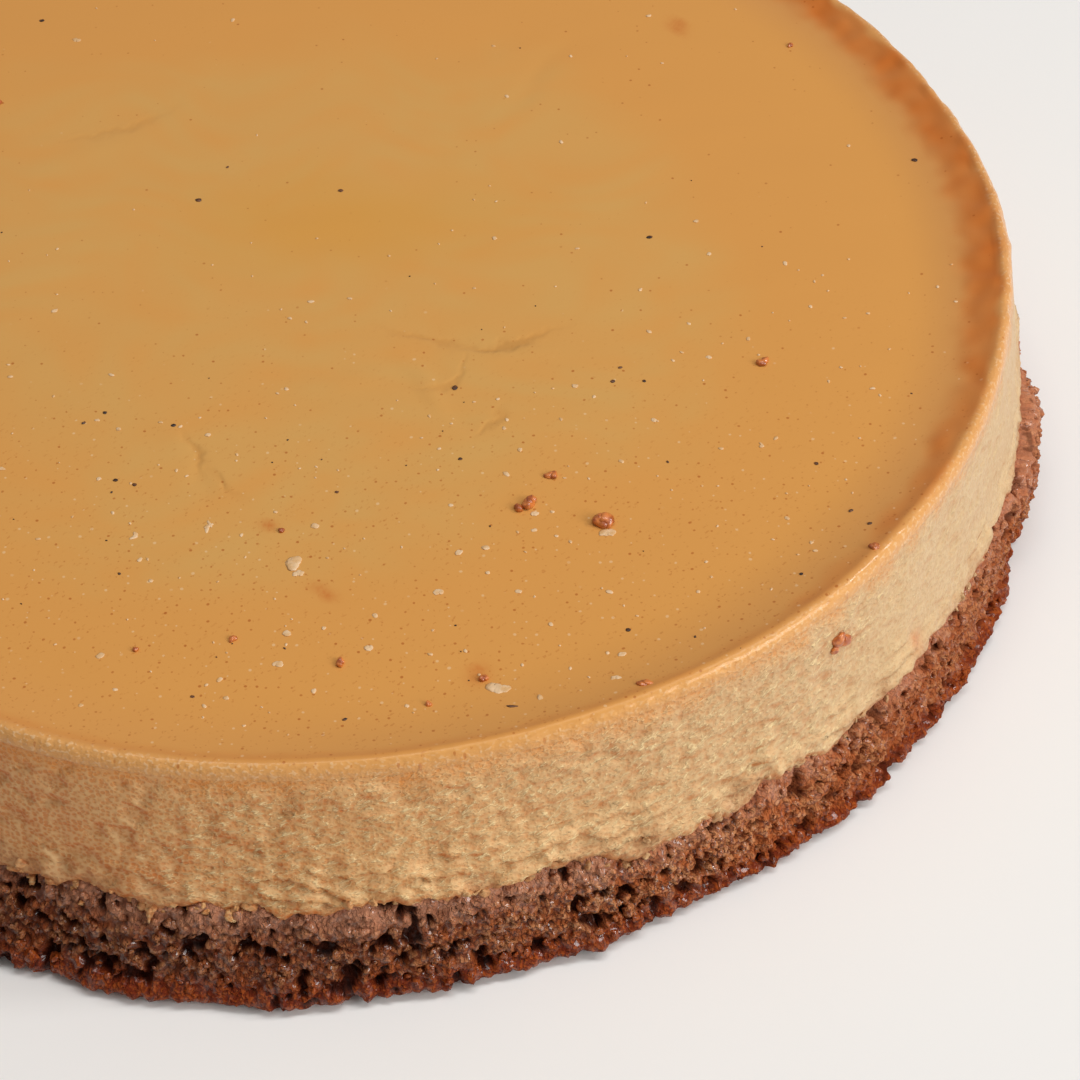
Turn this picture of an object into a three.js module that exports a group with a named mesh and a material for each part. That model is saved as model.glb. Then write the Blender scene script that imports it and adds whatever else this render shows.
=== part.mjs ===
// A chocoflan: a low disc of baked custard, turned out of a slope-sided tin, on a thin chocolate sponge.
// Millimetres, +Z up. The origin is at the middle of the underside, on the face that the cake rests on.
import * as THREE from "three";

// Driving dimensions
const cakeHeight = 42.7; // rest face to the crest of the custard's rim
const rimRadius = 112; // top of the custard's wall
const custardFootRadius = 115.5; // bottom of the custard's wall
const custardShift = 2.9; // along X: the custard sits a little off the middle of the sponge
const spongeHeight = 16.4; // rest face to the joint between sponge and custard
const crustRadius = 121.7; // flared lower edge of the sponge
const dishDepth = 2.4; // how far the custard's top sinks below its rim
const slopeWidth = 16; // inner slope, from the flat of the top up to the rim
const crestWidth = 2.6; // rounded crest between the inner slope and the wall
const crestFall = 1.2; // height of that rounding on the wall's side
const footRound = 0.9; // rounding of the custard's lower edge
const shoulderDrop = 1.1; // rounding of the sponge's upper edge
const shoulderReach = 0.4; // how far that edge stands out past the custard's foot
const crustHeight = 2.2; // thickness of the sponge's thin baked edge
const crustLift = 0.9; // how far that edge curls up off the rest face
const restInset = 3.5; // the flat underside ends this far inside the crust edge
const layerGap = 0.3; // clearance kept between the two layers
const ledgeReach = 3.4; // the sponge stands proud of the custard at one place
const ledgeAngle = THREE.MathUtils.degToRad(-3);
const ledgeSpread = THREE.MathUtils.degToRad(8);
const sectors = 120; // facets round the cake

// Sum of slow waves round the cake. Each part is [waves per turn, height, phase].
function waves(angle, parts) {
  return parts.reduce((sum, [count, height, phase]) => sum + height * Math.sin(count * angle + phase), 0);
}

// How far each outline strays from a true circle, and each height from level.
const rimStray = (angle) => waves(angle, [[2, 0.35, 0.4], [3, 0.3, 2.1], [7, 0.16, 1.2], [13, 0.1, 0.3]]);
const rimRise = (angle) => waves(angle, [[2, 0.15, 1.9], [5, 0.12, 0.6], [9, 0.08, 2.4]]);
const footStray = (angle) => waves(angle, [[3, 0.4, 0.2], [8, 0.3, 1.5], [17, 0.25, 0.9], [29, 0.2, 2.2]]);
const crustStray = (angle) => waves(angle, [[3, 0.6, 1.1], [7, 0.5, 0.4], [16, 0.35, 2.6], [31, 0.3, 0.8]]);
const jointStray = (angle) => waves(angle, [[4, 0.35, 0.7], [9, 0.4, 2.0], [19, 0.35, 1.4], [33, 0.3, 0.1]]);

// Height of the joint between the layers. Only its outer edge is uneven.
function jointHeight(radius, angle) {
  const share = THREE.MathUtils.smoothstep(radius, 0.75 * custardFootRadius, custardFootRadius);
  return spongeHeight + jointStray(angle) * share;
}

// Height of the custard's top: a shallow, faintly swelling dish that steepens towards the rim.
function dishHeight(radius, angle) {
  const slope = THREE.MathUtils.clamp((radius - rimRadius + slopeWidth) / (slopeWidth - crestWidth), 0, 1);
  const swell = waves(angle, [[2, 0.12, 0.9], [3, 0.1, 2.8]]) * (radius / rimRadius);
  return cakeHeight - dishDepth * (1 - slope * slope) + swell * (1 - slope) + rimRise(angle) * slope;
}

// How far the sponge reaches out past its plain flare at its one ledge.
function ledge(angle) {
  const turn = Math.atan2(Math.sin(angle - ledgeAngle), Math.cos(angle - ledgeAngle));
  return ledgeReach * Math.exp(-((turn / ledgeSpread) ** 2));
}

// Lumps of open crumb on the sponge's side. Each part is [lumps per turn, waves per mm of height, size].
function crumb(angle, height) {
  const parts = [[17, 0.9, 0.4], [29, 1.3, 0.35], [43, 0.7, 0.3]];
  return parts.reduce(
    (sum, [count, rate, size], i) => sum + size * Math.sin(count * angle + i) * Math.cos(rate * height + 2 * i),
    0,
  );
}

// A ring is a function from an angle to [radius, height]. Both layers share the rings of their joint.
const jointRadii = [50, 90, 106, 112];
const topRadii = [24, 48, 70, 86];
const underShares = [1, 0.85, 0.45];
const slopeSteps = 5;
const crestSteps = 3;
const wallSteps = 6;
const sideSteps = 6;

function custardRings() {
  const rings = topRadii.map((radius) => (angle) => [radius, dishHeight(radius, angle)]);
  for (let i = 0; i <= slopeSteps; i++) {
    const share = i / slopeSteps;
    const radius = rimRadius - slopeWidth + (slopeWidth - crestWidth) * share;
    rings.push((angle) => [radius + rimStray(angle) * share, dishHeight(radius, angle)]);
  }
  for (let i = 1; i <= crestSteps; i++) {
    const turn = (0.5 * Math.PI * i) / crestSteps;
    const radius = rimRadius - crestWidth * (1 - Math.sin(turn));
    const height = cakeHeight - crestFall * (1 - Math.cos(turn));
    rings.push((angle) => [radius + rimStray(angle), height + rimRise(angle)]);
  }
  for (let i = 1; i <= wallSteps; i++) {
    const share = i / wallSteps;
    const radius = THREE.MathUtils.lerp(rimRadius, custardFootRadius, share);
    rings.push((angle) => {
      const stray = THREE.MathUtils.lerp(rimStray(angle), footStray(angle), share);
      const high = cakeHeight - crestFall + rimRise(angle);
      const low = jointHeight(custardFootRadius, angle) + layerGap + footRound;
      return [radius + stray, THREE.MathUtils.lerp(high, low, share)];
    });
  }
  rings.push((angle) => [
    custardFootRadius - footRound + footStray(angle),
    jointHeight(custardFootRadius, angle) + 1.5 * layerGap,
  ]);
  for (const radius of [...jointRadii].reverse()) {
    rings.push((angle) => [radius, jointHeight(radius, angle) + layerGap]);
  }
  return rings;
}

function spongeRings() {
  const rings = jointRadii.map((radius) => (angle) => [radius, jointHeight(radius, angle)]);
  // The crust is round the sponge's own middle, so its radius from the custard's axis swings with the angle.
  const crustEdge = (angle) => crustRadius - custardShift * Math.cos(angle) + crustStray(angle);
  for (let i = 0; i <= sideSteps; i++) {
    const share = i / sideSteps;
    rings.push((angle) => {
      const shoulder = custardFootRadius + footStray(angle) + shoulderReach;
      const high = jointHeight(custardFootRadius, angle) - shoulderDrop;
      const height = THREE.MathUtils.lerp(high, crustLift + crustHeight, share);
      const flare = THREE.MathUtils.lerp(shoulder, crustEdge(angle) - 0.5 * crustHeight, share ** 1.3);
      const lumps = i === 0 ? 0 : crumb(angle, height);
      return [flare + ledge(angle) * Math.cos(0.5 * Math.PI * share) + lumps, height];
    });
  }
  rings.push((angle) => [crustEdge(angle), crustLift + 0.4 * crustHeight]);
  rings.push((angle) => [crustEdge(angle) - 0.2 * crustHeight, crustLift]);
  for (const share of underShares) {
    rings.push((angle) => [share * (crustEdge(angle) - restInset), 0]);
  }
  return rings;
}

// A closed body turned about Z through the rings, from the pole at the top down and back to the pole below.
function turnedBody(rings, topPole, bottomPole) {
  const points = [0, 0, topPole];
  for (const ring of rings) {
    for (let s = 0; s < sectors; s++) {
      const angle = (2 * Math.PI * s) / sectors;
      const [radius, height] = ring(angle);
      points.push(radius * Math.cos(angle), radius * Math.sin(angle), height);
    }
  }
  points.push(0, 0, bottomPole);
  const at = (ring, sector) => 1 + ring * sectors + (sector % sectors);
  const last = rings.length - 1;
  const bottom = points.length / 3 - 1;
  const faces = [];
  for (let s = 0; s < sectors; s++) {
    faces.push(0, at(0, s), at(0, s + 1));
    for (let r = 0; r < last; r++) {
      faces.push(at(r, s), at(r + 1, s), at(r + 1, s + 1));
      faces.push(at(r, s), at(r + 1, s + 1), at(r, s + 1));
    }
    faces.push(bottom, at(last, s + 1), at(last, s));
  }
  const geometry = new THREE.BufferGeometry();
  geometry.setAttribute("position", new THREE.Float32BufferAttribute(points, 3));
  geometry.setIndex(faces);
  geometry.computeVertexNormals();
  return geometry;
}

function layer(name, geometry, color, roughness) {
  const mesh = new THREE.Mesh(geometry, new THREE.MeshStandardMaterial({ color, roughness, metalness: 0 }));
  mesh.name = name;
  return mesh;
}

const custard = turnedBody(custardRings(), dishHeight(0, 0), spongeHeight + layerGap);
const sponge = turnedBody(spongeRings(), spongeHeight, 0);

const cake = new THREE.Group();
cake.add(layer("custard_layer", custard, "#d19651", 0.35));
cake.add(layer("sponge_layer", sponge, "#6e3f2a", 0.6));
for (const mesh of cake.children) {
  mesh.position.x = custardShift;
}

export default cake;
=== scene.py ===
import math
import random

import bmesh
import bpy
import numpy as np
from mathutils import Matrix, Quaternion, Vector, noise


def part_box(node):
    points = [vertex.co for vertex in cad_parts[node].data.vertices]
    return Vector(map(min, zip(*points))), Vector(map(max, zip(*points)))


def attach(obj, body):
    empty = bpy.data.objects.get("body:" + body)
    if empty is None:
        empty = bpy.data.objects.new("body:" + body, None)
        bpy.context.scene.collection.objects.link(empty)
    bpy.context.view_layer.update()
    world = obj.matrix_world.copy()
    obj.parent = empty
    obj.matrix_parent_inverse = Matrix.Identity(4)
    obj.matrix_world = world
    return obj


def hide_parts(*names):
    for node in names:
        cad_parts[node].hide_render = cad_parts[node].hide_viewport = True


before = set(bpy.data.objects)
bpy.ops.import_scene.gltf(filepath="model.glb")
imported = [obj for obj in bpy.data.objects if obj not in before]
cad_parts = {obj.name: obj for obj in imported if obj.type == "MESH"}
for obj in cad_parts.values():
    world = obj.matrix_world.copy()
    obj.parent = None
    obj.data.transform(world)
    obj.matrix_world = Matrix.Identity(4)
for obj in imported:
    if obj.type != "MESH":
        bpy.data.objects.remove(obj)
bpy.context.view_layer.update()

custardLow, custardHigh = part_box("custard_layer")
spongeLow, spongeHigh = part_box("sponge_layer")
mm = 0.001

# The cake's main sizes in millimetres, taken from the frame. All shapes below stand on them.
cake = {
    "axis": (custardLow + custardHigh) / 2,
    "footRadius": (custardHigh.x - custardLow.x) / (2 * mm) - 0.35,
    "wallLean": 3.5,  # how much wider the custard is at its foot than at its rim
    "height": custardHigh.z / mm - 0.35,
    "joint": spongeHigh.z / mm - 1.0,
    "crustRadius": (spongeHigh.x - spongeLow.x) / (2 * mm) - 0.55,
    "crustShift": -2.9,  # along X, from the custard's axis to the sponge's
    "litSide": math.radians(-15),  # the side that faces the light
    "raggedSide": math.radians(-125),  # where the joint is most torn
}
cake["rimRadius"] = cake["footRadius"] - cake["wallLean"]


# Shape helpers. Everything here is in millimetres from the custard's axis.

def waves(angle, parts):
    return sum(height * np.sin(count * angle + phase) for count, height, phase in parts)


def smoothStep(low, high, value):
    share = np.clip((value - low) / (high - low), 0, 1)
    return share * share * (3 - 2 * share)


def blend(a, b, share):
    return a + (b - a) * share


def rough(points, size, seed=0):
    # smooth noise from -1 to 1; size is the width of one bump
    shift = Vector((3.7 * seed, 8.3 * seed, 5.9 * seed))
    return np.array([noise.noise(Vector(p) / size + shift) for p in points])


def drift(points, size, seed, axes=3):
    # smooth noise along each of the first axes, to push points about
    still = 0 * points[:, 0]
    return np.stack([rough(points, size, seed + i) if i < axes else still for i in range(3)], -1)


def ridged(points, size, seed=0):
    # sharp crests, from about 1 down to -1
    return 1 - 2.4 * np.abs(rough(points, size, seed))


def cells(points, size, seed=0):
    # distance to the nearest cell middle, in cell widths, and a share from 0 to 1 for that cell
    shift = Vector((6.1 * seed, 2.9 * seed, 9.7 * seed))
    near, pick = [], []
    for p in points:
        distances, middles = noise.voronoi(Vector(p) / size + shift)
        near.append(distances[0])
        pick.append(abs(noise.cell(middles[0] * 37.0)))
    return np.array(near), np.array(pick)


def along(angle, size, seed):
    # noise round the cake, for outlines
    reach = cake["footRadius"]
    ring = np.stack([reach * np.cos(angle), reach * np.sin(angle), np.zeros_like(angle)], -1)
    return rough(ring, size, seed)


def outward(angle, out, up):
    return np.stack([out * np.cos(angle), out * np.sin(angle), up + 0 * angle], -1)


def nearAngle(angle, middle, spread):
    turn = np.arctan2(np.sin(angle - middle), np.cos(angle - middle))
    return np.exp(-(turn / spread) ** 2)


def rimStray(angle):
    return waves(angle, [[2, 0.35, 0.4], [3, 0.3, 2.1], [7, 0.16, 1.2], [13, 0.1, 0.3]])


def rimRise(angle):
    return waves(angle, [[2, 0.15, 1.9], [5, 0.12, 0.6], [9, 0.08, 2.4]])


def footStray(angle):
    return waves(angle, [[3, 0.4, 0.2], [8, 0.3, 1.5], [17, 0.25, 0.9], [29, 0.2, 2.2]])


def crustStray(angle):
    return waves(angle, [[3, 0.6, 1.1], [7, 0.5, 0.4], [16, 0.35, 2.6], [31, 0.3, 0.8]])


def jointStray(angle):
    slow = waves(angle, [[4, 0.35, 0.7], [9, 0.4, 2.0], [19, 0.35, 1.4], [33, 0.3, 0.1]])
    steps = 0.8 * np.tanh(5 * along(angle, 11, 13))
    left = nearAngle(angle, cake["raggedSide"], 0.45)
    return slow + steps + 1.1 * along(angle, 6.5, 11) + (1.1 + 0.8 * left) * along(angle, 2.6, 12)


def skin(name, points, faces):
    mesh = bpy.data.meshes.new(name)
    mesh.from_pydata(points, [], faces)
    mesh.shade_smooth()
    return mesh


def ringMesh(name, rings, poles):
    # closes a stack of rings into one skin; each has as many points as the last, or half, or double
    points = [poles[0]] + [tuple(p) for ring in rings for p in ring] + [poles[1]]
    starts = np.cumsum([1] + [len(ring) for ring in rings])
    faces = []

    def at(ring, i):
        return int(starts[ring] + i % len(rings[ring]))

    for i in range(len(rings[0])):
        faces.append((0, at(0, i), at(0, i + 1)))
    for r in range(len(rings) - 1):
        upper, lower = len(rings[r]), len(rings[r + 1])
        for i in range(min(upper, lower)):
            if upper == lower:
                faces.append((at(r, i), at(r + 1, i), at(r + 1, i + 1), at(r, i + 1)))
            elif upper < lower:
                faces.append((at(r, i), at(r + 1, 2 * i), at(r + 1, 2 * i + 1)))
                faces.append((at(r, i), at(r + 1, 2 * i + 1), at(r, i + 1)))
                faces.append((at(r, i + 1), at(r + 1, 2 * i + 1), at(r + 1, 2 * i + 2)))
            else:
                faces.append((at(r, 2 * i), at(r + 1, i), at(r, 2 * i + 1)))
                faces.append((at(r, 2 * i + 1), at(r + 1, i), at(r + 1, i + 1)))
                faces.append((at(r, 2 * i + 1), at(r + 1, i + 1), at(r, 2 * i + 2)))
    last = len(rings) - 1
    for i in range(len(rings[last])):
        faces.append((len(points) - 1, at(last, i + 1), at(last, i)))
    return skin(name, points, faces)


def lumpMesh(name, lumps, detail, uneven):
    # one mesh of many small closed lumps; each is its middle, three half sizes, turn and own seed
    ball = bmesh.new()
    bmesh.ops.create_icosphere(ball, subdivisions=detail, radius=1.0)
    unit = np.array([v.co[:] for v in ball.verts])
    corners = np.array([[v.index for v in face.verts] for face in ball.faces])
    ball.free()
    points, faces, owner = [], [], []
    for i, (middle, half, turn, seed) in enumerate(lumps):
        shape = unit * (1 + uneven * (rough(unit, 1.1, seed) + 0.5 * rough(unit, 0.5, seed)))[:, None]
        spin = np.array(turn.to_matrix())
        points.append((shape * half) @ spin.T + middle)
        faces.append(corners + i * len(unit))
        owner.extend([i] * len(unit))
    mesh = skin(name, np.concatenate(points).tolist(), np.concatenate(faces).tolist())
    return mesh, np.array(owner)


def anyTurn(chance):
    axis = Vector((chance.gauss(0, 1), chance.gauss(0, 1), chance.gauss(0, 1))).normalized()
    return Quaternion(axis, chance.uniform(0, 2 * math.pi))


def add(name, data):
    made = bpy.data.objects.new(name, data)
    bpy.context.scene.collection.objects.link(made)
    return made


def place(name, mesh, slot, finish, *nodes):
    # puts a mesh made round the custard's axis, in millimetres, where the frame says
    spots = np.empty(len(mesh.vertices) * 3, dtype=np.float32)
    mesh.vertices.foreach_get("co", spots)
    spots = spots.reshape(-1, 3) * mm + np.array([cake["axis"].x, cake["axis"].y, 0])
    mesh.vertices.foreach_set("co", spots.astype(np.float32).ravel())
    mesh.update()
    piece = add(name, mesh)
    mesh.materials.append(finish)
    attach(piece, "root")
    if nodes:
        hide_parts(*nodes)
    print(name, sum(len(face.vertices) - 2 for face in mesh.polygons), "triangles")


def tag(mesh, **marks):
    # one number for each point of the mesh, for the shader
    for name, values in marks.items():
        layer = mesh.attributes.new(name, "FLOAT", "POINT")
        layer.data.foreach_set("value", np.asarray(values, dtype=np.float32))


# Shader helpers.

def colour(text, alpha=1.0):
    # a linear colour from a web colour
    parts = [int(text[i:i + 2], 16) / 255 for i in (0, 2, 4)]
    return [p / 12.92 if p <= 0.04045 else ((p + 0.055) / 1.055) ** 2.4 for p in parts] + [alpha]


class Wire:
    # an output socket that works in ordinary sums
    def __init__(self, finish, socket):
        self.finish = finish
        self.socket = socket

    def __add__(self, other):
        return self.finish.maths("ADD", self, other)

    def __radd__(self, other):
        return self.finish.maths("ADD", other, self)

    def __sub__(self, other):
        return self.finish.maths("SUBTRACT", self, other)

    def __rsub__(self, other):
        return self.finish.maths("SUBTRACT", other, self)

    def __mul__(self, other):
        return self.finish.maths("MULTIPLY", self, other)

    def __rmul__(self, other):
        return self.finish.maths("MULTIPLY", other, self)


class Finish:
    # one material, with its surface shader
    def __init__(self, name, **constants):
        self.material = bpy.data.materials.new(name)
        self.material.use_nodes = True
        self.tree = self.material.node_tree
        self.tree.nodes.clear()
        self.surface = self.tree.nodes.new("ShaderNodeBsdfPrincipled")
        out = self.tree.nodes.new("ShaderNodeOutputMaterial")
        self.tree.links.new(self.surface.outputs[0], out.inputs["Surface"])
        for key, value in constants.items():
            self.surface.inputs[key.replace("_", " ")].default_value = value
        self.spot = self.node("ShaderNodeTexCoord", {}, {}, "Object")

    def node(self, kind, settings, inputs, output=0):
        made = self.tree.nodes.new(kind)
        for key, value in settings.items():
            setattr(made, key, value)
        for key, value in inputs.items():
            if isinstance(value, Wire):
                self.tree.links.new(value.socket, made.inputs[key])
            else:
                made.inputs[key].default_value = value
        return Wire(self, made.outputs[output])

    def maths(self, operation, first, second=0.0):
        return self.node("ShaderNodeMath", {"operation": operation}, {0: first, 1: second})

    def mix(self, first, second, share, blend="MIX"):
        settings = {"data_type": "RGBA", "blend_type": blend}
        return self.node("ShaderNodeMix", settings, {0: share, 6: first, 7: second}, 2)

    def step(self, value, low, high):
        inputs = {"Value": value, "From Min": low, "From Max": high}
        return self.node("ShaderNodeMapRange", {"interpolation_type": "SMOOTHSTEP"}, inputs)

    def part(self, axis):
        # X, Y or Z of the shaded spot, in millimetres from the custard's axis
        shift = {"X": cake["axis"].x, "Y": cake["axis"].y, "Z": 0.0}[axis]
        return (self.node("ShaderNodeSeparateXYZ", {}, {0: self.spot}, axis) - shift) * 1000

    def joined(self, x, y, z):
        return self.node("ShaderNodeCombineXYZ", {}, {0: x, 1: y, 2: z})

    def noise(self, size, detail=2.0, roughness=0.5, chart=None, warp=0.0):
        # size is the width of one blotch in millimetres; a chart makes the noise flat
        inputs = {"Vector": chart or self.spot, "Scale": 1 / (size * mm), "Detail": detail,
                  "Roughness": roughness, "Distortion": warp}
        return self.node("ShaderNodeTexNoise", {"noise_dimensions": "2D" if chart else "3D"}, inputs)

    def ridge(self, size, chart=None, wide=0.03):
        # thin crests where a noise passes its middle
        return 1 - self.step(self.maths("ABSOLUTE", self.noise(size, 2, 0.5, chart) - 0.5), 0.0, wide)

    def grains(self, size, chart=None):
        # distance to the nearest cell's middle, in cell widths, and two shares from 0 to 1 for that cell
        settings = {"feature": "F1", "voronoi_dimensions": "2D" if chart else "3D"}
        inputs = {"Vector": chart or self.spot, "Scale": 1 / (size * mm)}
        near = self.node("ShaderNodeTexVoronoi", settings, inputs)
        tint = Wire(self, near.socket.node.outputs["Color"])
        return (near, *(self.node("ShaderNodeSeparateXYZ", {}, {0: tint}, axis) for axis in "XY"))

    def warped(self, spot, wire, reach):
        # a spot pushed about by a wire, by up to half of reach in millimetres
        push = (wire - 0.5) * (reach * mm)
        inputs = {0: spot, 1: self.joined(push, push, push)}
        return self.node("ShaderNodeVectorMath", {"operation": "ADD"}, inputs)

    def mark(self, name):
        return self.node("ShaderNodeAttribute", {"attribute_name": name}, {}, "Fac")

    def feed(self, socket, wire):
        self.tree.links.new(wire.socket, self.surface.inputs[socket])

    def bump(self, height, strength, depth):
        inputs = {"Height": height, "Strength": strength, "Distance": depth * mm}
        self.feed("Normal", self.node("ShaderNodeBump", {}, inputs))


# The custard: a dished top, a thin rounded rim and a porous wall that ends in torn folds.

custard = {
    "sectors": 1120,
    "halvedBelow": (104, 52, 26, 13),  # radii inside which a ring has half as many points
    "ridgesAt": math.radians(-75),  # where the slanting ridges are strongest
    "livelyAt": math.radians(-72),
    "tornAt": math.radians(-74),
    "behind": math.radians(30),  # the side on which the caramel band is widest
    "alongSlant": 0.88,  # cosine and sine of the slanting ridges' angle
    "upSlant": 0.47,
    "wallNormal": (0.99, 0.13),
    "litFrom": (0.6, -0.2, 0.77),
    "dishDepth": 2.4,
    "slopeWidth": 16.0,
    "brimWidth": 7,
    "brimRings": 10,
    "crestWidth": 1.7,
    "crestFall": 2.2,
    "footRound": 0.9,
    "wallRings": 46,
    "crestRings": 9,
    "dents": 0.45,
    "ridges": 0.38,
    "folds": 0.95,
    "rimLumps": 0.3,
    "drips": 600,
    # the listed drips: turn round the cake in degrees, height, size
    "dripSpots": (
        (-111.5, 17, 1.0), (-106.6, 13, 0.8), (-98, 15.8, 0.8), (-86, 15.5, 0.8), (-78, 14.5, 0.9),
        (-72.6, 13, 0.7), (-68, 14, 0.9), (-64.8, 17.5, 1.0), (-62, 11, 0.6), (-41, 15, 0.8), (-29, 16, 0.8),
    ),
    "swirlSize": 5,
    "rippleSize": 1.7,
    "fineSize": 0.8,
    "freckleCell": 1.6,
    "pinprickCell": 0.95,
    "poreCell": 0.8,
    "skin": "da994e",
    "skinDeep": "d79945",
    "skinPale": "d5a058",
    "rimShade": "cc8d5c",
    "rimTone": "c8671e",
    "crest": "dca263",
    "creaseShade": "ae6824",
    "freckle": "a8500e",
    "fleckAndGlint": "f0d2a6",
    "wall": "dbaa70",
    "wallLitPale": "ccaf86",
    "wallPitAndShade": "eeb184",
    "wallRidgeAndLight": "f2cf9c",
    "glint": "fff0cc",
    "wallGlint": "f7daa2",
    "wallSkin": "da863a",
    "soaked": "b07850",
    "stain": "c05a18",
}

# Small folds in the skin: middle x and y, half length, half width, turn in degrees, height.
folds = (
    (23, -21, 11, 1.3, -22, -0.2),
    (31, -24, 5, 1.0, 12, 0.2),
    (17, -33, 7, 1.4, -64, 0.2),
    (21, -39, 6, 1.1, -35, -0.18),
    (-18, -50, 6, 1.2, -70, -0.2),
    (-22, -44, 6, 1.3, -50, 0.14),
    (4, -30, 9, 1.5, 15, 0.1),
    (-40, 30, 12, 2.2, 30, 0.1),
    (34, 47, 10, 2.0, 65, -0.1),
)

# Fine creases: middle x and y, half length, half width, turn in degrees, bow, strength.
creases = (
    (17, -21, 7, 0.9, -18, 0.012, 0.6),
    (29, -22, 7, 0.8, 15, 0.02, 0.9),
    (-19, -46, 4, 0.8, -76, -0.03, 0.8),
    (-15, -53, 4, 0.7, -48, 0.03, 0.5),
    (27, -40, 3, 0.7, 62, 0.03, 0.6),
    (20, -31, 5, 0.7, 35, 0.1, 0.5),
    (-38, 34, 8, 0.9, 24, 0.02, 0.4),
)

# Orange stains in the skin: middle x and y, half length, half width, turn in degrees.
stains = (
    (2, -76, 2.1, 0.8, -25),
    (25, -92, 1.8, 1.2, 60),
    (-72, 18, 2.0, 1.0, 40),
    (-7, -62, 1.3, 0.9, 10),
    (60, 62, 2.2, 1.1, 120),
)


def dish(radius, angle):
    # height of the custard's top, without its fine relief
    c = custard
    rim = cake["rimRadius"]
    slope = np.clip((radius - rim + c["slopeWidth"]) / (c["slopeWidth"] - c["crestWidth"]), 0, 1)
    swell = waves(angle, [[2, 0.12, 0.9], [3, 0.1, 2.8]]) * (radius / rim) * (1 - slope)
    return cake["height"] - c["dishDepth"] * (1 - slope ** 2) + swell + rimRise(angle) * slope


def oval(x, y, spot, bend):
    # a soft oval, 1 in its middle; spot is its middle x and y, half length, half width and turn in degrees
    middleX, middleY, long, wide, turn = spot
    turn = math.radians(turn)
    run = (x - middleX) * math.cos(turn) + (y - middleY) * math.sin(turn)
    off = (y - middleY) * math.cos(turn) - (x - middleX) * math.sin(turn) + bend
    return np.exp(-(run / long) ** 2 - (off / wide) ** 2)


def skinRelief(points):
    # broad swells and small folds, all far under a millimetre high
    x, y = points[:, 0], points[:, 1]
    flow = points + 9 * drift(points, 30, 21, 2)
    lift = 0.16 * rough(points, 34, 23) + 0.05 * rough(flow * [1, 2.2, 1], 13, 24)
    bend = 1.2 * rough(points, 5, 25)
    for *spot, height in folds:
        lift = lift + height * oval(x, y, spot, bend)
    return lift


def skinLift(points, radius):
    # the skin's relief, which fades out towards the rim
    rim = cake["rimRadius"]
    return skinRelief(points) * smoothStep(rim, rim - 12, radius)


def creamAt(points):
    # a paler, swirled middle, from 0 to 1
    flow = points + 14 * drift(points, 26, 71, 2)
    reach = np.hypot(points[:, 0] + 6, points[:, 1] * 1.1 + 6)
    edge = reach + 16 * rough(points, 30, 73) + 6 * rough(flow, 9, 74)
    swirls = 0.75 + 0.6 * rough(flow * [1, 2.4, 1], 12, 75) + 0.3 * rough(flow, 5, 76)
    return smoothStep(80, 56, edge) * swirls


def goldAt(points):
    # a golden oval near the middle, from 0 to 1
    x, y = points[:, 0] + 5 * rough(points, 12, 77), points[:, 1] + 4 * rough(points, 9, 78)
    return np.exp(-((x - 3) / 25) ** 2 - ((y - 9) / 12) ** 2)


def rimBand(points, radius, angle):
    # a caramel line inside the crest that widens to a patchy band at the back right, from 0 to 1
    rim = cake["rimRadius"]
    behind = smoothStep(0.1, 0.9, np.cos(angle - custard["behind"]) + 0.35 * rough(points, 9, 63))
    wander = (0.4 + 0.9 * behind) * rough(points, 6, 61) + (0.2 + 0.5 * behind) * rough(points, 2.9, 62)
    inner = rim - 3.3 - 4.2 * behind
    band = smoothStep(inner - 1.2 - behind, inner + 1.2 + behind, radius + wander)
    band = band * smoothStep(rim - 0.9, rim - 2.7, radius + wander)
    return band * (0.35 + 0.65 * behind) * (1 + 0.35 * rough(points, 4.2, 66))


def liveliness(points, angle):
    # where the wall is ridged rather than smooth, from 0 to 1
    front = nearAngle(angle, custard["livelyAt"], math.radians(33))
    return smoothStep(-0.3, 0.5, 0.5 * rough(points, 20, 33) + 1.1 * front - 0.4)


def stainAt(points):
    # how strongly the skin or the wall is stained orange, from 0 to 1
    x, y, z = points[:, 0], points[:, 1], points[:, 2]
    bend = 0.7 * rough(points, 2.5, 47)
    stain = 0 * x
    for spot in stains:
        stain = np.maximum(stain, oval(x, y, spot, bend))
    angle = np.arctan2(y, x)
    onWall = nearAngle(angle, math.radians(-37), 0.016) * np.exp(-((z - 21 + bend) / 1.9) ** 2)
    return np.maximum(stain, 0.8 * onWall * (np.hypot(x, y) > 108))


def soakAt(points):
    # how far crumb has stained the foot of the wall, from 0 to 1
    fade = smoothStep(cake["joint"] + 4.5, cake["joint"] + 0.3, points[:, 2] + 2.2 * rough(points, 5, 48))
    left = nearAngle(np.arctan2(points[:, 1], points[:, 0]), math.radians(-122), 0.4)
    return fade * smoothStep(-0.3, 0.35, rough(points, 7, 49) + 0.4 * rough(points, 2.2, 50) + 0.35 * left)


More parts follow.
